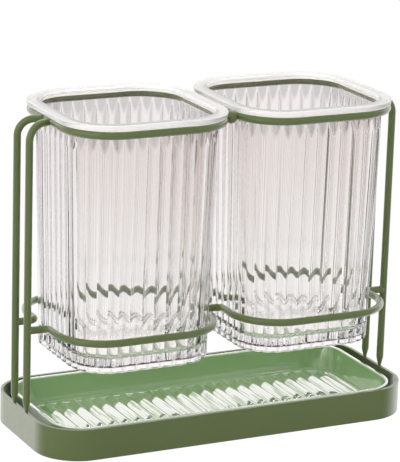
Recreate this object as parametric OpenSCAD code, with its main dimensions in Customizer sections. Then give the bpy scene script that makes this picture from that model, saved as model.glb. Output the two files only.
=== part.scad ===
/* [Base] */
// Length of the base band
base_l = 215; // [212:1:260]
// Depth of the base band, front to back
base_d = 91.5; // [86:0.5:120]
// Height of the base band
band_h = 17; // [12:0.5:22]
// Thickness of the band's steel strip
band_t = 1.6; // [1:0.1:2.5]
// Outer corner radius of the band
band_corner = 24; // [21:1:32]

/* [Wire frame] */
// Diameter of the wire of the hoops and uprights
wire_d = 4; // [3.5:0.1:4.5]
// Distance between the two uprights of one end
upright_gap = 16.5; // [14:0.5:30]
// Distance between the two uprights' tops, where they meet the hoop
upright_top_gap = 7; // [6:0.5:10]
// Bend radius at the top of an upright
upright_bend = 9; // [7:0.5:10]
// Height of the pointed foot of an upright
foot_h = 5; // [3:0.5:8]
// Height of the top hoops' wire centre above the table
hoop_z = 171.4; // [160:0.2:185]
// Height of the lower hoops' wire centre above the table
lower_z = 61.6; // [54:0.2:80]
// Diameter of the bar between the top hoops
bar_d = 4; // [3.5:0.1:5]
// How far the bar runs past the straight sides of the top hoops
bar_past = 5.6; // [5:0.1:8]
// Diameter of the bar's end knobs
knob_d = 7; // [6.4:0.1:7.2]
// Bend radius of the small bends of a lower hoop
kink_bend = 3.6; // [3:0.1:4.5]
// Bend radius of the large bends of a lower hoop
loop_bend = 26; // [22:0.5:28]
// Distance of a lower hoop's waist from the middle of the frame
waist_y = 6; // [4:0.5:9]

/* [Cups] */
// Width of a cup over its ribs, at the top hoop
cup_w = 84.3; // [80:0.1:88]
// Height of a cup
cup_h = 133.4; // [125:0.2:150]
// How much a cup's wall leans in per millimetre of height
cup_taper = 0.0246; // [0.01:0.001:0.04]
// Corner radius of a cup's outline
cup_corner = 23.6; // [19:0.1:28]
// Number of upright ribs round a cup
rib_count = 44; // [36:4:52]
// Depth of the grooves between the ribs
rib_depth = 0.9; // [0.5:0.1:1.3]
// Thickness of a cup's wall behind the grooves
cup_wall = 2.2; // [1.6:0.1:3]
// Thickness of the lip at a cup's mouth
lip_t = 3; // [2:0.1:4]
// Height of the inside floor above a cup's foot
floor_h = 7; // [5:0.5:9]
// Depth of the hollow under a cup's floor
foot_hollow = 2.4; // [1.5:0.1:3]
// Diameter of the drain holes
drain_d = 4; // [3:0.5:5]
// Distance between drain holes
drain_pitch = 15; // [12:0.5:18]

/* [Drip tray] */
// Height of the drip tray
tray_h = 16.2; // [11:0.1:21]
// Thickness of the drip tray's wall
tray_wall = 1.6; // [1.2:0.1:2.4]
// Gap between the tray's long sides and the band
tray_side_gap = 0.8; // [0.5:0.1:1.5]
// Gap between the tray's ends and the band
tray_end_gap = 5; // [4:0.5:8]
// Number of ridges across the tray's floor
ridge_count = 25; // [15:1:31]
// Height of the ridges
ridge_h = 1.4; // [0.8:0.1:2]

/* [Hidden] */
$fn = 48;

// Clearances between pieces that part by hand
hoop_clear = 0.45;
lip_clear = 0.3;
lower_clear = 0.35;
// Hair gap where a wire's end is welded to another wire's side
weld_gap = 0.02;
// Room between a cup and its lower hoop, at the outer side and at the front
lower_room_side = 5;
lower_room_front = 2.6;

wire_r = wire_d / 2;
half = cup_w / 2;
// Half of a cup side's straight stretch, and the length of a corner's arc
flat = half - cup_corner;
corner_len = cup_corner * PI / 2;

hoop_out = hoop_clear + wire_r;
cup_x = half + hoop_out + wire_r + bar_d / 2;
lip_out = hoop_clear + wire_d;
lip_z = hoop_z + wire_r + lip_clear;
cup_top = lip_z + lip_t;
cup_z = cup_top - cup_h;
bar_half = flat + bar_past;

upright_x = (base_l - band_t) / 2;
upright_y = upright_gap / 2;
hoop_side_x = cup_x + half + hoop_out;
top_run_x = upright_x - hoop_side_x;
top_run_y = (upright_gap - upright_top_gap) / 2;
top_run = norm([top_run_x, top_run_y]);
top_turn = atan2(top_run_y, top_run_x);

lower_half = half - cup_taper * (hoop_z - lower_z);
waist_x = cup_x - lower_half - lower_clear - wire_r;
loop_x = cup_x + lower_half + lower_room_side + wire_r;
loop_y = lower_half + lower_room_front + wire_r;

tray_l = base_l - 2 * (band_t + tray_end_gap);
tray_d = base_d - 2 * (band_t + tray_side_gap);
tray_corner = band_corner - band_t - tray_side_gap - 2;
// Rim of the tray: how far it stands out, its thickness, and its width on top
rim_out = 0.8;
rim_t = 1.4;
rim_w = 1.9;
// How far the tray's inner wall leans in, and the size of the cove at its foot
tray_lean = 1.4;
cove = 3.2;
cove_low = 0.3 * cove;
floor_in = rim_w + tray_lean + cove;
ridge_l = tray_l - 2 * floor_in;
ridge_w = tray_d - 2 * floor_in;
ridge_pitch = ridge_l / ridge_count;

// Cup edges: the foot's, the lip's and the mouth's, and the height over which the grooves fade out
foot_edge = 0.8;
lip_edge = 0.8;
lip_under = 0.5;
mouth_edge = 1.8;
groove_fade = 9;
floor_round = 2.4;
foot_rim = 1.4;

green = [0.42, 0.5, 0.31];
tray_green = [0.5, 0.68, 0.42];
clear = [0.9, 0.9, 0.88, 0.45];

// Point at a share of the way round a cup's outline, moved out by a distance
function outline_point(share, out) =
    let (quarter = floor(4 * share),
        along = (4 * share - quarter) * (2 * flat + corner_len),
        a = min(max((along - flat) / cup_corner * 180 / PI, 0), 90),
        x = along > flat + corner_len ? 2 * flat + corner_len - along : flat,
        y = min(along, flat),
        r = cup_corner + out)
    let (p = [x + r * cos(a), y + r * sin(a)])
    [p[0] * cos(90 * quarter) - p[1] * sin(90 * quarter),
        p[0] * sin(90 * quarter) + p[1] * cos(90 * quarter)];

// How far a cup's ribbed face lies inside its width at the hoop, at a height above the foot
function lean(z) = -cup_taper * (hoop_z - cup_z - z);

// One level of a cup's skin: grooves of a depth between ribs, four points to a rib
rib_form = [1, 0.25, 0, 0.25];
function ribbed_ring(z, out, depth) =
    [for (i = [0 : 4 * rib_count - 1])
        let (p = outline_point(i / (4 * rib_count), out - depth * rib_form[i % 4]))
        [p[0], p[1], z]];

// One level of a cup's inside, two points to a rib
function inner_ring(z, out) =
    [for (i = [0 : 2 * rib_count - 1])
        let (p = outline_point(i / (2 * rib_count), lean(z) + out))
        [p[0], p[1], z]];

// One level of the tray's hollow: the tray's outline moved in by a distance
function hollow_ring(z, in, steps = 8) =
    [for (q = [0 : 3], i = [0 : steps])
        let (a = 90 * q + 90 * i / steps,
            side_x = (q == 0 || q == 3) ? 1 : -1,
            side_y = q < 2 ? 1 : -1,
            r = tray_corner - in)
        [side_x * (tray_l / 2 - tray_corner) + r * cos(a),
            side_y * (tray_d / 2 - tray_corner) + r * sin(a), z]];

// Closed skin through a stack of rings, lowest first
module skin(rings) {
    n = len(rings[0]);
    last = len(rings) - 1;
    ends = [[0, 0, rings[0][0][2]], [0, 0, rings[last][0][2]]];
    points = concat([for (ring = rings) each ring], ends);
    bottom = [for (i = [0 : n - 1]) [i, (i + 1) % n, len(points) - 2]];
    top = [for (i = [0 : n - 1]) [last * n + (i + 1) % n, last * n + i, len(points) - 1]];
    sides = [for (k = [0 : last - 1], i = [0 : n - 1])
        [k * n + i, (k + 1) * n + i, (k + 1) * n + (i + 1) % n, k * n + (i + 1) % n]];
    polyhedron(points = points, faces = concat(bottom, top, sides), convexity = 6);
}

module rounded_rect(l, d, r) {
    square([l - 2 * r, d], center = true);
    square([l, d - 2 * r], center = true);
    for (x = [-1, 1], y = [-1, 1])
        translate([x * (l / 2 - r), y * (d / 2 - r)]) circle(r);
}

module rod(length, d) {
    rotate([0, 90, 0]) cylinder(h = length, d = d);
}

// Arc of wire about the origin, from one direction on through an angle
module wire_arc(radius, from, angle) {
    rotate([0, 0, from])
        rotate_extrude(angle = angle) translate([radius, 0]) circle(d = wire_d);
}

// Wire laid flat from the origin along +X: each step is [straight length, turn to the left, bend radius]
module bent_wire(steps, i = 0) {
    if (i < len(steps)) {
        run = steps[i][0];
        turn = steps[i][1];
        bend = steps[i][2];
        side = turn < 0 ? -1 : 1;
        rod(run, wire_d);
        if (turn != 0)
            translate([run, side * bend, 0])
                wire_arc(bend, turn < 0 ? 90 + turn : -90, abs(turn));
        translate([run + bend * sin(abs(turn)), side * bend * (1 - cos(turn)), 0])
            rotate([0, 0, turn]) bent_wire(steps, i + 1);
    }
}

// Closed hoop that follows the cup's outline
module hoop_wire() {
    for (q = [0 : 3]) rotate([0, 0, 90 * q]) {
        translate([half + hoop_out, -flat, 0]) rotate([0, 0, 90]) rod(2 * flat, wire_d);
        translate([flat, flat, 0]) wire_arc(cup_corner + hoop_out, 0, 90);
    }
}

module base_band() {
    color(green)
        linear_extrude(band_h) difference() {
            rounded_rect(base_l, base_d, band_corner);
            rounded_rect(base_l - 2 * band_t, base_d - 2 * band_t, band_corner - band_t);
        }
}

// Upright of one end and side: it tapers onto the band, rises, and bends in to the hoop's side
module upright(end, side) {
    bend_z = hoop_z - upright_bend;
    turn = end > 0 ? 180 + side * top_turn : -side * top_turn;
    color(green) difference() {
        translate([end * upright_x, side * upright_y, 0]) {
            translate([0, 0, band_h]) cylinder(h = foot_h, d1 = band_t, d2 = wire_d);
            translate([0, 0, band_h + foot_h]) cylinder(h = bend_z - band_h - foot_h, d = wire_d);
            rotate([0, 0, turn]) {
                translate([upright_bend, 0, bend_z])
                    rotate([90, 0, 0]) wire_arc(upright_bend, 90, 90);
                translate([upright_bend, 0, hoop_z]) rod(top_run - upright_bend, wire_d);
            }
        }
        translate([end * hoop_side_x, -flat, hoop_z])
            rotate([0, 0, 90]) rod(2 * flat, wire_d + 2 * weld_gap);
    }
}

module top_hoop(side) {
    color(green) translate([side * cup_x, 0, hoop_z]) hoop_wire();
}

module centre_bar() {
    color(green)
        translate([0, -bar_half, hoop_z]) rotate([0, 0, 90]) rod(2 * bar_half, bar_d);
}

// Round knob on the bar's end, hollowed where the bar and the hoops run into it
module bar_knob(side) {
    color(green) difference() {
        translate([0, side * bar_half, hoop_z])
            rotate([90, 0, 0]) rotate([0, 0, 90]) sphere(d = knob_d);
        centre_bar();
        top_hoop(-1);
        top_hoop(1);
    }
}

// Right half of the rear lower hoop, from the waist round the cup to the upright
module lower_half_wire() {
    translate([0, waist_y, lower_z]) bent_wire([
        [waist_x - kink_bend, 90, kink_bend],
        [loop_y - loop_bend - waist_y - kink_bend, -90, loop_bend],
        [loop_x - waist_x - 2 * loop_bend, -90, loop_bend],
        [loop_y - loop_bend - upright_y - kink_bend, 90, kink_bend],
        [upright_x - loop_x - kink_bend, 0, 0]
    ]);
}

module lower_hoop() {
    color(green) difference() {
        union() {
            lower_half_wire();
            mirror([1, 0, 0]) lower_half_wire();
        }
        for (x = [-1, 1])
            translate([x * upright_x, upright_y, lower_z - wire_d])
                cylinder(h = 2 * wire_d, d = wire_d + 2 * weld_gap);
    }
}

module lower_hoop_front() {
    mirror([0, 1, 0]) lower_hoop();
}

module lower_hoop_rear() {
    lower_hoop();
}

module drip_tray() {
    color(tray_green) {
        difference() {
            union() {
                linear_extrude(tray_h)
                    rounded_rect(tray_l - 2 * rim_out, tray_d - 2 * rim_out, tray_corner - rim_out);
                translate([0, 0, tray_h - rim_t]) linear_extrude(rim_t)
                    rounded_rect(tray_l, tray_d, tray_corner);
            }
            skin([
                hollow_ring(tray_wall, floor_in),
                hollow_ring(tray_wall + cove_low, rim_w + tray_lean + cove_low),
                hollow_ring(tray_wall + cove, rim_w + tray_lean),
                hollow_ring(tray_h + 1, rim_w)
            ]);
        }
        tray_ridges();
    }
}

// Rounded ridges from front to back over the tray's floor, sunk a little into it
module tray_ridges() {
    sunk = 0.1;
    margin = 0.2;
    steps = 6;
    intersection() {
        translate([0, ridge_w / 2, tray_wall - sunk]) rotate([90, 0, 0]) linear_extrude(ridge_w)
            polygon(concat([[-ridge_l / 2, 0]],
                [for (i = [0 : steps * ridge_count])
                    [-ridge_l / 2 + i * ridge_pitch / steps, sunk + ridge_h * abs(sin(180 * i / steps))]],
                [[ridge_l / 2, 0]]));
        linear_extrude(tray_h)
            rounded_rect(ridge_l - margin, ridge_w - margin, tray_corner - floor_in);
    }
}

module cup() {
    lip_h = cup_h - lip_t;
    groove_top = hoop_z - wire_r - 1 - cup_z;
    groove_full = groove_top - groove_fade;
    groove_half = groove_top - 0.45 * groove_fade;
    inner = -rib_depth - cup_wall;
    foot_in = lean(0) + inner - foot_rim;
    difference() {
        skin([
            ribbed_ring(0, lean(0) - foot_edge, rib_depth),
            ribbed_ring(foot_edge * 1.5, lean(foot_edge * 1.5), rib_depth),
            ribbed_ring(groove_full, lean(groove_full), rib_depth),
            ribbed_ring(groove_half, lean(groove_half), rib_depth * 0.6),
            ribbed_ring(groove_top, lean(groove_top), 0),
            ribbed_ring(lip_h, lean(lip_h), 0),
            ribbed_ring(lip_h + 0.01, lip_out - lip_under, 0),
            ribbed_ring(lip_h + lip_under, lip_out, 0),
            ribbed_ring(cup_h - lip_edge, lip_out, 0),
            ribbed_ring(cup_h, lip_out - lip_edge, 0)
        ]);
        skin([
            inner_ring(floor_h, inner - floor_round),
            inner_ring(floor_h + 0.3 * floor_round, inner - 0.3 * floor_round),
            inner_ring(floor_h + floor_round, inner),
            inner_ring(cup_h - mouth_edge, inner),
            inner_ring(cup_h + 1, inner + mouth_edge)
        ]);
        translate([0, 0, -1]) linear_extrude(foot_hollow + 1)
            rounded_rect(2 * (half + foot_in), 2 * (half + foot_in), cup_corner + foot_in);
        for (x = [-1 : 1], y = [-1 : 1])
            translate([x * drain_pitch, y * drain_pitch, 0])
                cylinder(h = floor_h + 1, d = drain_d, $fn = 24);
    }
}

module cup_left() {
    color(clear) translate([-cup_x, 0, cup_z]) cup();
}

module cup_right() {
    color(clear) translate([cup_x, 0, cup_z]) cup();
}

base_band();
drip_tray();
upright(-1, -1);  // upright_front_left
upright(1, -1);  // upright_front_right
upright(-1, 1);  // upright_rear_left
upright(1, 1);  // upright_rear_right
top_hoop(-1);  // top_hoop_left
top_hoop(1);  // top_hoop_right
centre_bar();
bar_knob(-1);  // bar_knob_front
bar_knob(1);  // bar_knob_rear
lower_hoop_front();
lower_hoop_rear();
cup_left();
cup_right();
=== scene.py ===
import math

import bpy
from mathutils import Matrix, Vector


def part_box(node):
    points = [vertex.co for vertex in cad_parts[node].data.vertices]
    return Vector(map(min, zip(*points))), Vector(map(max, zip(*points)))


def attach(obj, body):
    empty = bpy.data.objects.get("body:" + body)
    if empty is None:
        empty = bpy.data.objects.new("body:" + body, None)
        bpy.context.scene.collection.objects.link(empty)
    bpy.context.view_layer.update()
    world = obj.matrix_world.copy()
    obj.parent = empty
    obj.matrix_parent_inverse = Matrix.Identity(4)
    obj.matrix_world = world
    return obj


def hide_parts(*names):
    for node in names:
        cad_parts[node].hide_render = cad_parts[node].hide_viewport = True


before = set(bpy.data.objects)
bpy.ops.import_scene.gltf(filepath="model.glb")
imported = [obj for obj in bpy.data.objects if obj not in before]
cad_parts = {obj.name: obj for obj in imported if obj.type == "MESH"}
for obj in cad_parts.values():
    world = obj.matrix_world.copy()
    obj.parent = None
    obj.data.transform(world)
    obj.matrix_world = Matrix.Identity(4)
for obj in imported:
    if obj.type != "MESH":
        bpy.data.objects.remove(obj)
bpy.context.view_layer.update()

MM = 0.001
SHARP_EDGE = math.radians(48)
MERGE_DISTANCE = 2e-6

# Cups, in millimetres. A cup is as wide as two CUP_HALF at the height of the top hoops
HOOP_Z = 171.4
HOOP_CLEAR = 0.45
WIRE_R = 2.0
CUP_HALF = 42.15
CUP_CORNER = 23.6
CORNER_STEPS = 32
CUP_TAPER = 0.0246
CUP_WALL = 2.2
WALL_STEPS = 12
LIP_T = 3.0
LIP_ROUND = 0.9
LIP_MARGIN = 0.2
NECK_ROUND = 0.6
MOUTH_ROUND = 1.4
INSIDE_STEPS = 7
FLOOR_H = 7.0
FLOOR_ROUND = 3.0
FLOOR_RINGS = (0.0, 0.3, 0.6, 0.85)
FOOT_HOLLOW = 2.4
HOLLOW_ROUND = 0.5
FOOT_RIM = 1.4
FOOT_RIM_ROUND = 0.4
FOOT_FLAT = 2.0
FOOT_ROUND = 0.45

# Ribs round a cup. They are turned by a share of one rib, to stand where the solid's ribs stand. The
# run-out's mark begins more sharply with a larger RUN_OUT_EDGE and stops at RUN_OUT_END of the depth
RIBS = 44
RIB_POINTS = 10
RIB_DEPTH = 0.9
RIB_ARCH = 2.0
RIB_TURN = -0.253
RUN_OUT = 11.0
RUN_OUT_STEPS = 18
RUN_OUT_EDGE = 3.0
RUN_OUT_END = 0.99
NO_RIBS = -1.0

# Drain holes. The drill's length is in floor heights
DRAINS_ACROSS = 3
DRAIN_D = 4.0
DRAIN_PITCH = 15.0
DRAIN_POINTS = 40
DRILL_LENGTH = 4.0

# Drip tray, in millimetres. Its play is the gap that it leaves inside the band beyond the solid's
TRAY_CORNER = 19.4
TRAY_POINTS = 320
TRAY_PLAY = 0.3
TRAY_RIM_OUT = 0.8
TRAY_RIM_T = 1.4
TRAY_RIM_W = 1.9
TRAY_RIM_ROUND = 0.6
TRAY_RIM_UNDER_ROUND = 0.4
TRAY_CHAMFER_H = 0.3
TRAY_CHAMFER_W = 0.1
TRAY_EDGE_ROUND = 0.8
TRAY_LEAN = 1.4
TRAY_FLOOR = 1.2
TRAY_COVE = 2.6
TRAY_BASE_RINGS = (0.0, 0.5, 1.0)
TRAY_FLOOR_RINGS = (0.7, 0.35, 0.0)

# Ridges of the tray. A ridge spans RIDGE_HALF of a pitch to each side, so that ridges meet, and keeps
# RIDGE_END_ROOM of each end on the flat floor. RIDGE_SINK is how deep it stands, in floor heights
RIDGES = 25
RIDGE_H = 1.8
RIDGE_END = 3.5
RIDGE_END_ROOM = 0.6
RIDGE_CREST = 0.6
RIDGE_HALF = 0.51
RIDGE_SINK = 0.5
RIDGE_SEGMENTS = 48
RIDGE_RINGS = 12

# Studio. The backdrop's levels go from the front of the room, at 0, to straight behind the object, at 1
STRAIGHT_BEHIND = (0.445, 0.895, 0.0)
BACKDROP_LEVELS = [
    (0.0, 0.93),
    (0.35, 0.93),
    (0.7, 0.97),
    (0.9, 1.0),
    (0.955, 0.96),
    (0.982, 0.70),
    (0.996, 0.99),
    (1.0, 1.0),
]
WHITE = (1, 1, 1, 1)


class Net:
    """Adds nodes to a tree and joins them. An input is a plain value or another node's output."""

    def __init__(self, tree):
        self.tree = tree

    def node(self, kind, inputs=None, **settings):
        made = self.tree.nodes.new(kind)
        for name, value in settings.items():
            setattr(made, name, value)
        for key, value in (inputs or {}).items():
            socket = made.inputs[key]
            if isinstance(value, bpy.types.NodeSocket):
                self.tree.links.new(value, socket)
            else:
                socket.default_value = value
        return made

    def first(self, kind, inputs=None, **settings):
        """Adds a node and gives its first output."""
        return self.node(kind, inputs, **settings).outputs[0]

    def calc(self, operation, a, b=0.0, c=0.0):
        return self.first("ShaderNodeMath", {0: a, 1: b, 2: c}, operation=operation)

    def vector(self, operation, a, b=(0.0, 0.0, 0.0)):
        return self.first("ShaderNodeVectorMath", {0: a, 1: b}, operation=operation)

    def dot(self, a, b):
        return self.node("ShaderNodeVectorMath", {0: a, 1: b}, operation="DOT_PRODUCT").outputs["Value"]

    def scaled(self, vector, factor):
        return self.first("ShaderNodeVectorMath", {0: vector, "Scale": factor}, operation="SCALE")

    def parts(self, vector):
        """A vector's X, Y and Z."""
        return self.node("ShaderNodeSeparateXYZ", {0: vector}).outputs

    def together(self, x=0.0, y=0.0, z=0.0):
        """The vector with this X, Y and Z."""
        return self.first("ShaderNodeCombineXYZ", {"X": x, "Y": y, "Z": z})

    # For geometry trees

    def position(self):
        return self.first("GeometryNodeInputPosition")

    def attribute(self, name):
        return self.first("GeometryNodeInputNamedAttribute", {"Name": name}, data_type="FLOAT")

    def stored(self, geometry, name, value):
        """Geometry whose points hold a value under a name."""
        inputs = {"Geometry": geometry, "Name": name, "Value": value}
        return self.first("GeometryNodeStoreNamedAttribute", inputs, data_type="FLOAT", domain="POINT")

    def sampled(self, geometry, value, index, kind):
        """A value at one point of a geometry."""
        inputs = {"Geometry": geometry, "Value": value, "Index": index}
        return self.first("GeometryNodeSampleIndex", inputs, data_type=kind)

    def moved(self, geometry, place):
        return self.first("GeometryNodeSetPosition", {"Geometry": geometry, "Position": place})

    def realized(self, geometry):
        return self.first("GeometryNodeRealizeInstances", {"Geometry": geometry})

    # For materials and the world

    def noise(self, where, scale, detail):
        return self.first("ShaderNodeTexNoise", {"Vector": where, "Scale": scale, "Detail": detail})

    def remap(self, value, low, high, to_low=0.0, to_high=1.0, **settings):
        """The value's place from low to high, turned into a place from to_low to to_high."""
        inputs = {0: value, 1: low, 2: high, 3: to_low, 4: to_high}
        return self.first("ShaderNodeMapRange", inputs, **settings)

    def uneven(self, where, scale, detail, least, most):
        """A value that wanders between two others over a surface."""
        return self.remap(self.noise(where, scale, detail), low=0.0, high=1.0, to_low=least, to_high=most)

    def blend(self, share, first, second):
        """A colour between two colours."""
        return self.node("ShaderNodeMix", {0: share, 6: first, 7: second}, data_type="RGBA").outputs[2]

    def mixed(self, share, first, second):
        """A shader between two shaders."""
        return self.first("ShaderNodeMixShader", {0: share, 1: first, 2: second})

    def levels(self, share, stops):
        """Grey levels that turn smoothly from stop to stop, each (share, level)."""
        made = self.node("ShaderNodeValToRGB", {0: share})
        steps = made.color_ramp
        steps.interpolation = "EASE"
        for place, level in stops[2:]:
            steps.elements.new(place)
        for step, (place, level) in zip(steps.elements, stops):
            step.position = place
            step.color = (level, level, level, 1)
        return made.outputs[0]


# Geometry trees

SHELL_INPUTS = [
    ("Width", "Float"), ("Depth", "Float"), ("Corner Radius", "Float"),
    ("Points Round", "Int"), ("Ribs", "Int"), ("Rib Depth", "Float"), ("Rib Turn", "Float"),
    ("Centre", "Vector"), ("Material", "Material"),
]


def shape_tree(name, inputs):
    """A geometry tree with named inputs, the outputs of its input node, and its net."""
    tree = bpy.data.node_groups.new(name, "GeometryNodeTree")
    tree.interface.new_socket("Geometry", in_out="INPUT", socket_type="NodeSocketGeometry")
    for label, kind in inputs:
        tree.interface.new_socket(label, in_out="INPUT", socket_type="NodeSocket" + kind)
    tree.interface.new_socket("Geometry", in_out="OUTPUT", socket_type="NodeSocketGeometry")
    return tree, tree.nodes.new("NodeGroupInput").outputs, Net(tree)


def finish_tree(net, geometry, material, rim=None, rim_height=None):
    """Ends a tree with plain, painted geometry that is smooth but for its sharp edges. Where a rim's
    material is given, the faces above its height take it."""
    smooth = net.first("GeometryNodeSetShadeSmooth", {"Geometry": net.realized(geometry)})
    angle = net.node("GeometryNodeInputMeshEdgeAngle").outputs["Unsigned Angle"]
    sharp = net.first("FunctionNodeCompare", {0: angle, 1: SHARP_EDGE}, operation="GREATER_THAN")
    smooth = net.first("GeometryNodeSetShadeSmooth",
        {"Geometry": smooth, "Selection": sharp, "Shade Smooth": False}, domain="EDGE")
    painted = net.first("GeometryNodeSetMaterial", {"Geometry": smooth, "Material": material})
    if rim is not None:
        above = net.calc("GREATER_THAN", net.parts(net.position())["Z"], rim_height)
        painted = net.first("GeometryNodeSetMaterial",
            {"Geometry": painted, "Selection": above, "Material": rim})
    net.node("NodeGroupOutput", {0: painted})


def moulded_shell_tree():
    """Sweeps a wall's section round a rounded rectangle. A section point holds how far out it lies, the
    size of its ring, from 1 for the full outline to 0 for its middle, and its height. Its ribbing is 1
    where ribs stand full, less where a slanting cut planes them, 0 at the grooves' depth and NO_RIBS
    where there are none."""
    tree, given, net = shape_tree("moulded shell", SHELL_INPUTS)
    count = net.node("GeometryNodeAttributeDomainSize", {"Geometry": given["Geometry"]}, component="MESH")
    point_count = count.outputs["Point Count"]
    grid = net.first("GeometryNodeMeshGrid", {
        "Size X": 1.0,
        "Size Y": 1.0,
        "Vertices X": net.calc("ADD", given["Points Round"], 1.0),
        "Vertices Y": point_count,
    })

    # The grid's X is the share of the way round, and its Y picks the section's point
    place = net.parts(net.position())
    round_share = net.calc("ADD", place["X"], 0.5)
    section_share = net.calc("ADD", place["Y"], 0.5)
    index = net.calc("MULTIPLY", section_share, net.calc("SUBTRACT", point_count, 1.0))
    index = net.calc("ROUND", index)
    section = net.parts(net.sampled(given["Geometry"], net.position(), index, "FLOAT_VECTOR"))
    ribbing = net.sampled(given["Geometry"], net.attribute("ribbing"), index, "FLOAT")

    outline = net.first("GeometryNodeCurvePrimitiveQuadrilateral",
        {"Width": given["Width"], "Height": given["Depth"]}, mode="RECTANGLE")
    outline = net.first("GeometryNodeFilletCurve",
        {"Curve": outline, "Count": CORNER_STEPS, "Radius": given["Corner Radius"]}, mode="POLY")
    turned = net.calc("FRACT", net.calc("ADD", round_share, given["Rib Turn"]))
    along = net.node("GeometryNodeSampleCurve", {"Curves": outline, "Factor": turned}, mode="FACTOR").outputs
    outward = net.vector("CROSS_PRODUCT", along["Tangent"], (0.0, 0.0, 1.0))

    # Each rib is an arch with a sharp groove on either side, and the run-out planes its crest away
    across = net.calc("PINGPONG", net.calc("MULTIPLY", round_share, given["Ribs"]), 0.5)
    across = net.calc("POWER", net.calc("MULTIPLY", across, 2.0), RIB_ARCH)
    planed = net.calc("SUBTRACT", 1.0, ribbing)
    ribbed = net.calc("GREATER_THAN", ribbing, NO_RIBS / 2)
    cut = net.calc("MULTIPLY", net.calc("MAXIMUM", across, planed), given["Rib Depth"])
    cut = net.calc("MULTIPLY", cut, ribbed)

    # What the run-out has planed is marked, for the material, which paints dark reflections there
    mark = net.calc("MULTIPLY", net.calc("SUBTRACT", planed, across), RUN_OUT_EDGE)
    mark = net.calc("MAXIMUM", net.calc("MINIMUM", mark, 1.0), 0.0)
    mark = net.calc("MULTIPLY", mark, ribbed)
    mark = net.calc("MULTIPLY", mark, net.calc("LESS_THAN", planed, RUN_OUT_END))

    out = net.calc("SUBTRACT", section["X"], cut)
    ring = net.vector("ADD", along["Position"], net.scaled(outward, out))
    ring = net.scaled(ring, section["Y"])
    where = net.vector("ADD", ring, net.together(z=section["Z"]))
    where = net.vector("ADD", where, given["Centre"])
    shell = net.moved(net.stored(grid, "run_out", mark), where)
    shell = net.first("GeometryNodeMergeByDistance", {"Geometry": shell, "Distance": MERGE_DISTANCE})
    finish_tree(net, shell, given["Material"])
    return tree


def drained_cup_tree(shell_tree):
    """A moulded shell with a square of round drain holes through its floor."""
    tree, given, net = shape_tree("drained cup", SHELL_INPUTS + [
        ("Holes Across", "Int"), ("Hole Pitch", "Float"), ("Hole Width", "Float"), ("Floor Height", "Float"),
        ("Lip Material", "Material"), ("Lip Height", "Float"),
    ])
    inputs = {label: given[label] for label, kind in SHELL_INPUTS}
    inputs["Geometry"] = given["Geometry"]
    shell = net.first("GeometryNodeGroup", inputs, node_tree=shell_tree)
    spread = net.calc("MULTIPLY", given["Hole Pitch"], net.calc("SUBTRACT", given["Holes Across"], 1.0))
    holes = net.first("GeometryNodeMeshGrid", {
        "Size X": spread,
        "Size Y": spread,
        "Vertices X": given["Holes Across"],
        "Vertices Y": given["Holes Across"],
    })
    drill = net.first("GeometryNodeMeshCylinder", {
        "Vertices": DRAIN_POINTS,
        "Radius": net.calc("MULTIPLY", given["Hole Width"], 0.5),
        "Depth": net.calc("MULTIPLY", given["Floor Height"], DRILL_LENGTH),
    })
    drills = net.first("GeometryNodeInstanceOnPoints", {"Points": holes, "Instance": drill})
    drills = net.first("GeometryNodeTransform",
        {"Geometry": net.realized(drills), "Translation": given["Centre"]})
    cut = net.first("GeometryNodeMeshBoolean", {0: shell, 1: drills}, operation="DIFFERENCE", solver="EXACT")
    finish_tree(net, cut, given["Material"], given["Lip Material"], given["Lip Height"])
    return tree


def ridge_room(net, given):
    """The tray floor's half length, the ridges' pitch, and how far the middles of a ridge's ends lie
    from the floor's long axis, less where the floor's corners curve in."""
    inset = given["Floor Inset"]
    half_length = net.calc("SUBTRACT", net.calc("DIVIDE", given["Width"], 2.0), inset)
    half_depth = net.calc("SUBTRACT", net.calc("DIVIDE", given["Depth"], 2.0), inset)
    corner = net.calc("SUBTRACT", given["Corner Radius"], inset)
    pitch = net.calc("DIVIDE", net.calc("MULTIPLY", half_length, 2.0), given["Ridges"])
    to_side = net.calc("ABSOLUTE", net.parts(net.position())["X"])
    past = net.calc("SUBTRACT", to_side, net.calc("SUBTRACT", half_length, corner))
    past = net.calc("MAXIMUM", past, 0.0)
    room = net.calc("SUBTRACT", net.calc("MULTIPLY", corner, corner), net.calc("MULTIPLY", past, past))
    room = net.calc("ADD", net.calc("SUBTRACT", half_depth, corner), net.calc("SQRT", room))
    straight = net.calc("SUBTRACT", room, net.calc("MULTIPLY", given["Ridge End"], RIDGE_END_ROOM))
    return half_length, pitch, straight


def short_ridge(net, given, pitch):
    """A ridge with no straight part. It starts as a ball with its poles to the front and rear, and its
    section is drawn in to a roof with a soft crest, (x^2 + z^2)^crest - (x^2)^crest high."""
    ball = net.first("GeometryNodeMeshUVSphere",
        {"Segments": RIDGE_SEGMENTS, "Rings": RIDGE_RINGS, "Radius": 1.0})
    ball = net.first("GeometryNodeTransform", {"Geometry": ball, "Rotation": (math.pi / 2, 0.0, 0.0)})
    spot = net.parts(net.position())
    aside = net.calc("MULTIPLY", spot["X"], spot["X"])
    radius = net.calc("MULTIPLY_ADD", spot["Z"], spot["Z"], aside)
    roof = net.calc("POWER", radius, given["Crest"])
    roof = net.calc("SUBTRACT", roof, net.calc("POWER", aside, given["Crest"]))
    roof = net.calc("MULTIPLY", roof, net.calc("SIGN", spot["Z"]))
    ridge = net.moved(ball, net.together(spot["X"], spot["Y"], roof))
    half_width = net.calc("MULTIPLY", pitch, RIDGE_HALF)
    size = net.together(half_width, given["Ridge End"], given["Ridge Height"])
    return net.first("GeometryNodeTransform", {"Geometry": ridge, "Scale": size})


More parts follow.
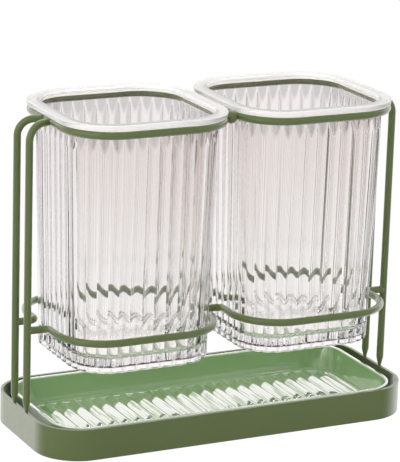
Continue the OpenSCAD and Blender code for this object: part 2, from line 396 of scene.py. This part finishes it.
def ridged_tray_tree(shell_tree):
    """A moulded shell with ridges from front to back over its floor, each as long as there is room for."""
    tree, given, net = shape_tree("ridged tray", [
        ("Width", "Float"), ("Depth", "Float"), ("Corner Radius", "Float"), ("Points Round", "Int"),
        ("Floor Inset", "Float"), ("Floor Height", "Float"),
        ("Ridges", "Int"), ("Ridge Height", "Float"), ("Ridge End", "Float"), ("Crest", "Float"),
        ("Material", "Material"),
    ])
    shell = net.first("GeometryNodeGroup", {
        "Geometry": given["Geometry"],
        "Width": given["Width"],
        "Depth": given["Depth"],
        "Corner Radius": given["Corner Radius"],
        "Points Round": given["Points Round"],
        "Material": given["Material"],
    }, node_tree=shell_tree)
    half_length, pitch, straight = ridge_room(net, given)
    first = net.calc("SUBTRACT", net.calc("DIVIDE", pitch, 2.0), half_length)
    line = net.first("GeometryNodeMeshLine", {
        "Count": given["Ridges"],
        "Start Location": net.together(x=first, z=given["Floor Height"]),
        "Offset": net.together(x=pitch),
    }, mode="OFFSET")
    line = net.stored(line, "straight", straight)
    ridges = net.first("GeometryNodeInstanceOnPoints",
        {"Points": line, "Instance": short_ridge(net, given, pitch)})
    ridges = net.realized(ridges)

    # The halves of each ridge are drawn apart, and its underside is pressed flat inside the floor
    spot = net.parts(net.position())
    end = net.calc("SIGN", spot["Y"])
    drawn = net.calc("MULTIPLY_ADD", end, net.attribute("straight"), spot["Y"])
    underside = net.calc("MULTIPLY", given["Floor Height"], RIDGE_SINK)
    pressed = net.calc("MAXIMUM", spot["Z"], underside)
    ridges = net.moved(ridges, net.together(spot["X"], drawn, pressed))
    both = net.node("GeometryNodeJoinGeometry", {"Geometry": shell})
    tree.links.new(ridges, both.inputs[0])
    finish_tree(net, both.outputs[0], given["Material"])
    return tree


def shaped(name, base, tree, values):
    """A plain mesh object made by a geometry tree from a base mesh."""
    maker = bpy.data.objects.new(name + "_base", base)
    bpy.context.scene.collection.objects.link(maker)
    modifier = maker.modifiers.new("shape", "NODES")
    modifier.node_group = tree
    sockets = {s.name: s.identifier for s in tree.interface.items_tree if s.in_out == "INPUT"}
    for label, value in values.items():
        modifier[sockets[label]] = value
    finished = maker.evaluated_get(bpy.context.evaluated_depsgraph_get())
    mesh = bpy.data.meshes.new_from_object(finished)
    bpy.data.objects.remove(maker)
    mesh.name = name
    piece = bpy.data.objects.new(name, mesh)
    bpy.context.scene.collection.objects.link(piece)
    return piece


# Sections

def arc(centre_out, centre_z, radius, start, end, steps):
    """Section points (out, height) round an arc, angles in degrees from outwards towards up."""
    turns = [math.radians(start + (end - start) * i / steps) for i in range(steps + 1)]
    return [(centre_out + radius * math.cos(t), centre_z + radius * math.sin(t)) for t in turns]


def heights(start, end, steps):
    """Even steps from one height to another, without the first."""
    return [start + (end - start) * i / steps for i in range(1, steps + 1)]


def plain(points):
    """Section points (out, height) with no ribs on them, on full rings."""
    return [(out, z, NO_RIBS, 1) for out, z in points]


def ribbed(points):
    """Section points (out, height) with full ribs on them, on full rings."""
    return [(out, z, 1, 1) for out, z in points]


def disc(out, z, rings):
    """Section points of a level disc: the same place on rings of several sizes."""
    return [(out, z, NO_RIBS, ring) for ring in rings]


def section_mesh(name, points):
    """A section as a mesh of loose points, from (out, height, ribbing, ring's size) in millimetres. The
    mesh holds a ring's size as Y."""
    mesh = bpy.data.meshes.new(name)
    mesh.from_pydata([(out * MM, ring, z * MM) for out, z, ribbing, ring in points], [], [])
    values = mesh.attributes.new("ribbing", "FLOAT", "POINT")
    values.data.foreach_set("value", [ribbing for out, z, ribbing, ring in points])
    return mesh


# Cups

def cup_section(cup_z, cup_h):
    """The wall of a cup from the middle of its foot, up the outside, over the lip and down to its floor."""
    def lean(z):
        return -CUP_TAPER * (HOOP_Z - cup_z - z)

    inner = -RIB_DEPTH - CUP_WALL
    lip_out = HOOP_CLEAR + 2 * WIRE_R
    lip_h = cup_h - LIP_T
    plain_z = HOOP_Z - cup_z
    ribbed_z = plain_z - RUN_OUT
    foot_in = lean(0) + inner - FOOT_RIM
    foot_out = lean(FOOT_ROUND)

    hollow = foot_in - HOLLOW_ROUND
    points = disc(hollow, FOOT_HOLLOW, FLOOR_RINGS + (1.0,))
    points += plain(arc(hollow, FOOT_HOLLOW - HOLLOW_ROUND, HOLLOW_ROUND, 90, 0, steps=3))
    points += plain(arc(foot_in + FOOT_RIM_ROUND, FOOT_RIM_ROUND, FOOT_RIM_ROUND, 180, 270, steps=3))
    points += ribbed([(foot_out - FOOT_FLAT, 0)])
    points += ribbed(arc(foot_out - FOOT_ROUND, FOOT_ROUND, FOOT_ROUND, 270, 360, steps=5))

    points += ribbed([(lean(z), z) for z in heights(FOOT_ROUND, ribbed_z, WALL_STEPS)])
    for i in range(1, RUN_OUT_STEPS + 1):
        z = ribbed_z + RUN_OUT * i / RUN_OUT_STEPS
        points.append((lean(z), z, 1 - i / RUN_OUT_STEPS, 1))

    neck = lean(lip_h) - RIB_DEPTH
    points += plain(arc(neck + NECK_ROUND, lip_h - NECK_ROUND, NECK_ROUND, 180, 90, steps=4))
    lip = lip_out - LIP_ROUND
    points += plain(arc(lip, lip_h + LIP_ROUND, LIP_ROUND, -90, 0, steps=5))
    points += plain(arc(lip, cup_h - LIP_ROUND, LIP_ROUND, 0, 90, steps=5))
    mouth = lean(cup_h) + inner + MOUTH_ROUND
    points += plain(arc(mouth, cup_h - MOUTH_ROUND, MOUTH_ROUND, 90, 180, steps=6))

    floor_edge = FLOOR_H + FLOOR_ROUND
    inside = heights(cup_h - MOUTH_ROUND, floor_edge, INSIDE_STEPS)
    points += plain([(lean(z) + inner, z) for z in inside])
    corner = lean(floor_edge) + inner - FLOOR_ROUND
    points += plain(arc(corner, floor_edge, FLOOR_ROUND, 0, -90, steps=6)[1:])
    points += disc(corner, FLOOR_H, reversed(FLOOR_RINGS))
    return points


def make_cup(node, body, tree, material, lip_material):
    low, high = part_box(node)
    centre = (low + high) / 2
    cup_h = (high.z - low.z) / MM
    base = section_mesh(node + "_section", cup_section(low.z / MM, cup_h))
    piece = shaped("ribbed_" + node, base, tree, {
        "Width": 2 * CUP_HALF * MM,
        "Depth": 2 * CUP_HALF * MM,
        "Corner Radius": CUP_CORNER * MM,
        "Points Round": RIBS * RIB_POINTS,
        "Ribs": RIBS,
        "Rib Depth": RIB_DEPTH * MM,
        "Rib Turn": RIB_TURN / RIBS,
        "Centre": (centre.x, centre.y, low.z),
        "Material": material,
        "Holes Across": DRAINS_ACROSS,
        "Hole Pitch": DRAIN_PITCH * MM,
        "Hole Width": DRAIN_D * MM,
        "Floor Height": FLOOR_H * MM,
        "Lip Material": lip_material,
        "Lip Height": high.z - (LIP_T + LIP_MARGIN) * MM,
    })
    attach(piece, body)
    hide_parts(node)


# Drip tray

def tray_section(height):
    """The tray's wall from the middle of its underside, round the rim and down to its floor."""
    side = -TRAY_RIM_OUT
    edge = side - TRAY_EDGE_ROUND
    under = height - TRAY_RIM_T
    rim_top = height - TRAY_RIM_ROUND
    under_top = under + TRAY_RIM_UNDER_ROUND
    cove = -TRAY_RIM_W - TRAY_LEAN - TRAY_COVE
    points = disc(edge, 0, TRAY_BASE_RINGS)
    points += plain(arc(edge, TRAY_EDGE_ROUND, TRAY_EDGE_ROUND, 270, 360, steps=4))
    points += plain([(side, under - TRAY_CHAMFER_H), (side + TRAY_CHAMFER_W, under)])
    points += plain(arc(-TRAY_RIM_UNDER_ROUND, under_top, TRAY_RIM_UNDER_ROUND, -90, 0, steps=3))
    points += plain(arc(-TRAY_RIM_ROUND, rim_top, TRAY_RIM_ROUND, 0, 90, steps=5))
    points += plain(arc(TRAY_RIM_ROUND - TRAY_RIM_W, rim_top, TRAY_RIM_ROUND, 90, 180, steps=5))
    points += plain(arc(cove, TRAY_FLOOR + TRAY_COVE, TRAY_COVE, 0, -90, steps=8))
    points += disc(cove, TRAY_FLOOR, TRAY_FLOOR_RINGS)
    return points


def make_tray(shell_tree, material):
    """The tray, with its rim level with the band's top."""
    low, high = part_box("drip_tray")
    band_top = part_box("base_band")[1].z
    base = section_mesh("tray_section", tray_section(band_top / MM))
    piece = shaped("ridged_drip_tray", base, ridged_tray_tree(shell_tree), {
        "Width": high.x - low.x - 2 * TRAY_PLAY * MM,
        "Depth": high.y - low.y - 2 * TRAY_PLAY * MM,
        "Corner Radius": TRAY_CORNER * MM,
        "Points Round": TRAY_POINTS,
        "Floor Inset": (TRAY_RIM_W + TRAY_LEAN + TRAY_COVE) * MM,
        "Floor Height": TRAY_FLOOR * MM,
        "Ridges": RIDGES,
        "Ridge Height": RIDGE_H * MM,
        "Ridge End": RIDGE_END * MM,
        "Crest": RIDGE_CREST,
        "Material": material,
    })
    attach(piece, "tray")
    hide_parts("drip_tray")


# Materials

def new_material(name):
    """An empty material, its net and the Object coordinates in it."""
    material = bpy.data.materials.new(name)
    material.use_nodes = True
    material.node_tree.nodes.clear()
    net = Net(material.node_tree)
    return material, net, net.node("ShaderNodeTexCoord").outputs["Object"]


def with_sheen(net, shader, sheen, start, end, most, cover=1.0):
    """Ends a material with a gloss that it takes on as it turns away from the eye, within its cover."""
    turned = net.node("ShaderNodeLayerWeight").outputs["Facing"]
    share = net.remap(turned, start, end, 0.0, most, interpolation_type="SMOOTHSTEP")
    share = net.calc("MULTIPLY", share, cover)
    net.node("ShaderNodeOutputMaterial", {"Surface": net.mixed(share, shader, sheen)})


def painted_wire():
    """Satin powder coat: slight drift in colour and gloss, fine orange peel, a painted highlight on edges.
    """
    material, net, where = new_material("green_powder_coat")
    dark_green = (0.088, 0.121, 0.038, 1)
    light_green = (0.106, 0.141, 0.048, 1)
    edge_highlight_green = (0.36, 0.42, 0.27, 1)
    colour = net.blend(net.noise(where, scale=22.0, detail=3.0), dark_green, light_green)
    rounded = net.first("ShaderNodeBevel", {"Radius": 0.5 * MM}, samples=4)
    facing = net.node("ShaderNodeNewGeometry").outputs["Normal"]
    # Edges are painted a paler green where they round off: a painted highlight.
    edge = net.remap(net.dot(rounded, facing), low=0.97, high=0.75, to_high=0.8)
    bump = net.first("ShaderNodeBump", {
        "Strength": 0.12,
        "Distance": 0.1 * MM,
        "Height": net.noise(where, scale=900.0, detail=2.0),
        "Normal": rounded,
    })
    shader = net.first("ShaderNodeBsdfPrincipled", {
        "Base Color": net.blend(edge, colour, edge_highlight_green),
        "Roughness": net.uneven(where, scale=160.0, detail=2.0, least=0.36, most=0.5),
        "Normal": bump,
        "Specular IOR Level": 0.35,
    })
    sheen = net.first("ShaderNodeBsdfAnisotropic", {"Color": (1, 1, 0.97, 1), "Roughness": 0.2})
    with_sheen(net, shader, sheen, start=0.3, end=0.9, most=0.5)
    return material


def floor_gloss(net, where):
    """The white gloss on the tray's ridges and its cover: faces that look up, in fine lines along the
    ridges. It is shaded as if they fell a little to the front."""
    fall = -0.1
    line_stretch = (1.0, 0.05, 0.3)
    facing = net.node("ShaderNodeNewGeometry").outputs["Normal"]
    tilted = net.vector("NORMALIZE", net.vector("ADD", facing, (0.0, fall, 0.0)))
    gloss = net.first("ShaderNodeBsdfAnisotropic",
        {"Color": (1, 1, 0.98, 1), "Roughness": 0.06, "Normal": tilted})
    looks_up = net.remap(net.parts(facing)["Z"], low=0.65, high=0.85)
    lines = net.noise(net.vector("MULTIPLY", where, line_stretch), scale=800.0, detail=1.0)
    lines = net.remap(lines, low=0.36, high=0.48, to_low=0.4)
    return gloss, net.calc("MULTIPLY", looks_up, lines)


def moulded_green():
    """Glossy moulded plastic of the tray, with faint flow marks, a painted highlight on the rim and a white
    floor gloss.
    """
    material, net, where = new_material("green_moulded_plastic")
    dark_green = (0.222, 0.376, 0.160, 1)
    light_green = (0.265, 0.430, 0.193, 1)
    rim_highlight_green = (0.78, 0.87, 0.70, 1)
    highlight_from = 16.0 * MM
    highlight_full = 16.6 * MM
    colour = net.blend(net.noise(where, scale=14.0, detail=2.0), dark_green, light_green)
    # The rim's top is painted pale green: a painted highlight.
    rim = net.remap(net.parts(where)["Z"], highlight_from, highlight_full, to_high=0.8)
    bump = net.first("ShaderNodeBump", {
        "Strength": 0.05,
        "Distance": 0.1 * MM,
        "Height": net.noise(where, scale=500.0, detail=2.0),
    })
    shader = net.first("ShaderNodeBsdfPrincipled", {
        "Base Color": net.blend(rim, colour, rim_highlight_green),
        "Roughness": net.uneven(where, scale=120.0, detail=3.0, least=0.05, most=0.12),
        "Normal": bump,
        "IOR": 1.55,
        "Coat Weight": 1.0,
        "Coat Roughness": 0.03,
        "Coat IOR": 1.6,
    })
    gloss, cover = floor_gloss(net, where)
    with_sheen(net, shader, gloss, start=0.15, end=0.6, most=0.92, cover=cover)
    return material


def clear_surface(net, where, colour, clearness):
    """Ends a material as moulded plastic that light passes, with faint ripples. Lamps reach what is
    behind it."""
    bump = net.first("ShaderNodeBump", {
        "Strength": 0.1,
        "Distance": 0.2 * MM,
        "Height": net.noise(where, scale=120.0, detail=1.0),
    })
    shader = net.first("ShaderNodeBsdfPrincipled", {
        "Base Color": colour,
        "Roughness": net.uneven(where, scale=90.0, detail=2.0, least=0.02, most=0.07),
        "Normal": bump,
        "IOR": 1.5,
        "Transmission Weight": clearness,
    })
    through = net.first("ShaderNodeBsdfTransparent", {"Color": (0.9, 0.9, 0.89, 1)})
    lamp_ray = net.node("ShaderNodeLightPath").outputs["Is Shadow Ray"]
    net.node("ShaderNodeOutputMaterial", {"Surface": net.mixed(lamp_ray, shader, through)})


def clear_plastic():
    """Clear moulded plastic of the cups: warmer and greyer higher up (a warm tint with painted shade), with
    painted dark reflections where the ribs run out.
    """
    material, net, where = new_material("clear_moulded_plastic")
    clear_tint = (1.0, 0.99, 0.982, 1)
    warm_tint_and_shade = (0.892, 0.846, 0.831, 1)
    run_out_painted_reflection = (0.46, 0.45, 0.445, 1)
    tint_from = 60 * MM
    tint_full = 170 * MM
    height_share = 0.8
    drift_share = 0.3
    # Higher up the plastic turns warmer and greyer: its warm tint, with painted shade that grows with
    # height.
    height_shade = net.remap(net.parts(where)["Z"], tint_from, tint_full, to_high=height_share)
    drift = net.noise(where, scale=30.0, detail=2.0)
    colour = net.blend(net.calc("MULTIPLY_ADD", drift, drift_share, height_shade), clear_tint, warm_tint_and_shade)
    # Where the ribs run out the plastic is painted dark grey: painted dark reflections.
    run_out = net.node("ShaderNodeAttribute", attribute_name="run_out").outputs["Fac"]
    clear_surface(net, where, net.blend(run_out, colour, run_out_painted_reflection), clearness=1.0)
    return material


def painted_light_lip():
    """The thick lip, which gathers light and looks almost white, shown with painted light: half of it is a
    diffuse near-white.
    """
    material, net, where = new_material("moulded_lip_painted_light")
    cream = (0.975, 0.962, 0.95, 1)
    near_white = (1.0, 0.995, 0.985, 1)
    # The lip's near-white is painted light: a cream surface that lets only half the light through.
    colour = net.blend(net.noise(where, scale=45.0, detail=2.0), cream, near_white)
    clear_surface(net, where, colour, clearness=0.5)
    return material


# Studio

def make_camera():
    """Camera fitted to the photograph's view, in the 400 by 462 frame."""
    azimuth, elevation, roll = (math.radians(a) for a in (-26.44, 15.65, 1.74))
    distance = 1.37305
    off_right, off_up = 0.00323, -0.0127
    focal_pixels = 2552.29
    frame_height = 462
    target = Vector((0, 0, 0.09))
    back = Vector((
        math.sin(azimuth) * math.cos(elevation),
        -math.cos(azimuth) * math.cos(elevation),
        math.sin(elevation),
    ))
    level_right = Vector((math.cos(azimuth), math.sin(azimuth), 0))
    level_up = back.cross(level_right)
    right = level_right * math.cos(roll) + level_up * math.sin(roll)
    up = level_up * math.cos(roll) - level_right * math.sin(roll)

    # The sensor's width lies along the frame's longer side, its height
    data = bpy.data.cameras.new("camera")
    data.sensor_width = 36.0
    data.lens = focal_pixels * data.sensor_width / frame_height
    camera = bpy.data.objects.new("camera", data)
    bpy.context.scene.collection.objects.link(camera)
    turn = Matrix((right, up, back)).transposed().to_4x4()
    place = target + back * distance - right * off_right - up * off_up
    camera.matrix_world = Matrix.Translation(place) @ turn
    bpy.context.scene.camera = camera


def seen_plainly(net):
    """1 for a ray that comes from the camera, off a gloss or through glass, and 0 for soft light."""
    ray = net.node("ShaderNodeLightPath").outputs
    seen = net.calc("MAXIMUM", ray["Is Camera Ray"], ray["Is Glossy Ray"])
    return net.calc("MAXIMUM", seen, ray["Is Transmission Ray"])


def backdrop_level(net, towards):
    """How bright the studio is in a direction, for gloss and glass: white straight behind the object,
    a grey flag to each side of that, and a dimmer room in front."""
    share = net.calc("MULTIPLY_ADD", net.dot(towards, STRAIGHT_BEHIND), 0.5, 0.5)
    return net.levels(share, BACKDROP_LEVELS)


def make_world():
    """Soft even light on things, the studio's backdrop in gloss and glass, and plain white for the
    camera."""
    world = bpy.data.worlds.new("studio")
    bpy.context.scene.world = world
    world.use_nodes = True
    world.node_tree.nodes.clear()
    net = Net(world.node_tree)
    towards = net.node("ShaderNodeTexCoord").outputs["Generated"]
    soft = net.first("ShaderNodeBackground", {"Color": WHITE, "Strength": 0.62})
    backdrop = net.first("ShaderNodeBackground",
        {"Color": (1, 0.985, 0.975, 1), "Strength": backdrop_level(net, towards)})
    page = net.first("ShaderNodeBackground", {"Color": WHITE, "Strength": 1.0})
    light = net.mixed(seen_plainly(net), soft, backdrop)
    direct = net.node("ShaderNodeLightPath").outputs["Is Camera Ray"]
    net.node("ShaderNodeOutputWorld", {"Surface": net.mixed(direct, light, page)})


def make_floor():
    """White floor that keeps a faint shadow. In gloss and glass it is as bright as the backdrop."""
    reach = 4.0
    sink = 0.0002
    shine = 0.95
    page_white = 1.03
    mesh = bpy.data.meshes.new("floor")
    corners = [(x * reach, y * reach, -sink) for x, y in ((-1, -1), (1, -1), (1, 1), (-1, 1))]
    mesh.from_pydata(corners, [], [(0, 1, 2, 3)])
    floor = bpy.data.objects.new("floor", mesh)
    bpy.context.scene.collection.objects.link(floor)
    material, net, where = new_material("white_floor")
    lit = net.first("ShaderNodeBsdfDiffuse", {"Color": (0.9, 0.9, 0.9, 1)})
    level = backdrop_level(net, net.vector("NORMALIZE", where))
    direct = net.node("ShaderNodeLightPath").outputs["Is Camera Ray"]
    strength = net.calc("MAXIMUM", level, net.calc("MULTIPLY", direct, page_white))
    white = net.first("ShaderNodeEmission", {"Color": WHITE, "Strength": strength})
    seen = net.calc("MULTIPLY", seen_plainly(net), shine)
    net.node("ShaderNodeOutputMaterial", {"Surface": net.mixed(seen, lit, white)})
    mesh.materials.append(material)


def softbox(name, place, size, power):
    """Square soft lamp that faces the object's middle."""
    middle = Vector((0, 0, 0.08))
    data = bpy.data.lights.new(name, "AREA")
    data.shape = "SQUARE"
    data.size = size
    data.energy = power
    lamp = bpy.data.objects.new(name, data)
    bpy.context.scene.collection.objects.link(lamp)
    lamp.visible_camera = False
    lamp.location = place
    lamp.rotation_euler = (middle - Vector(place)).to_track_quat("-Z", "Y").to_euler()


# The object

make_camera()
make_world()
make_floor()
softbox("key_lamp", place=(-1.3, -0.45, 0.75), size=0.9, power=10.0)
softbox("fill_lamp", place=(1.0, -0.9, 0.6), size=0.8, power=2.5)
softbox("top_lamp", place=(0.1, 0.3, 1.4), size=1.0, power=5.0)

paint = painted_wire()
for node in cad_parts.values():
    node.data.materials.clear()
    node.data.materials.append(paint)

shell_tree = moulded_shell_tree()
cup_tree = drained_cup_tree(shell_tree)
clear = clear_plastic()
lip = painted_light_lip()
make_cup("cup_left", "left_cup", cup_tree, clear, lip)
make_cup("cup_right", "right_cup", cup_tree, clear, lip)
make_tray(shell_tree, moulded_green())

bpy.context.scene.view_settings.view_transform = "Standard"
